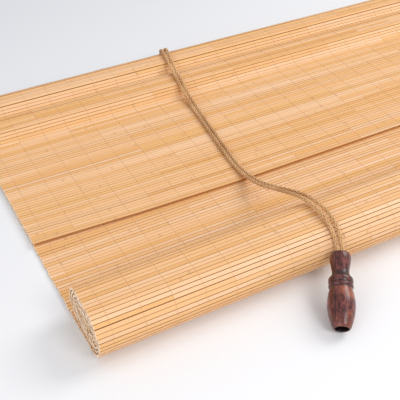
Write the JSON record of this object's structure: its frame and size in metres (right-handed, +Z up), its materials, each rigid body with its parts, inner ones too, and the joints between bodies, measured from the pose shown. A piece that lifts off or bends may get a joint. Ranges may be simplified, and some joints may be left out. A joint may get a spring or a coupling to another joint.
{
  "type": "bamboo roll up blind",
  "caption": "Woven bamboo roll-up blind lying partly rolled, with a valance, wooden headrail, hangers, cord pulleys, cord lock and a turned wooden pull on braided cords.",
  "frame": {"origin": "centre of the blind's footprint, on the surface that it lies on", "axes": "+X along the bamboo sticks to the viewer's right, +Y from the roll towards the headrail, +Z up out of the surface"},
  "size_m": [0.6, 0.3588, 0.0371],
  "materials": {
    "bamboo": "satin split bamboo sticks with fine threads",
    "lath_wood": "planed pale wood",
    "pull_wood": "gloss lacquered dark red-brown turned wood",
    "cord": "braided tan-brown cord",
    "plated_steel": "zinc-plated",
    "staple_steel": "bright wire",
    "pawl_brass": "satin brass",
    "wheel_nylon": "off-white nylon"
  },
  "bodies": {
    "blind": {"headrail": "lath_wood", "bamboo_mat": "bamboo", "bottom_lath": "lath_wood", "valance_lath": "lath_wood", "valance": "bamboo", "staples": "staple_steel", "hanger_left": "plated_steel", "hanger_right": "plated_steel", "hanger_screws": "plated_steel", "pulley_bracket_left": "plated_steel", "pulley_bracket_right": "plated_steel", "pulley_pin_left": "plated_steel", "pulley_pin_right": "plated_steel", "pulley_screws": "plated_steel", "lock_case": "plated_steel", "lock_pin": "plated_steel", "lock_screws": "plated_steel", "cord_pull": "pull_wood", "pull_knot": "cord", "pull_cord_left": "cord", "pull_cord_right": "cord"},
    "pulley_left": {"pulley_wheel_left": "wheel_nylon"},
    "pulley_right": {"pulley_wheel_right": "wheel_nylon"},
    "lock": {"lock_pawl": "pawl_brass"}
  },
  "joints": [
    {"name": "pulley_left_spin", "type": "hinge", "parent": "blind", "child": "pulley_left", "pos_m": [-0.17, 0.1461, 0.0035], "axis": [0, 0, 1], "continuous": true},
    {"name": "pulley_right_spin", "type": "hinge", "parent": "blind", "child": "pulley_right", "pos_m": [0.17, 0.1461, 0.0035], "axis": [0, 0, 1], "continuous": true},
    {"name": "lock_pawl_swing", "type": "hinge", "parent": "blind", "child": "lock", "pos_m": [-0.113, 0.1468, 0.004], "axis": [1, 0, 0], "range_deg": [-40, 0]}
  ]
}
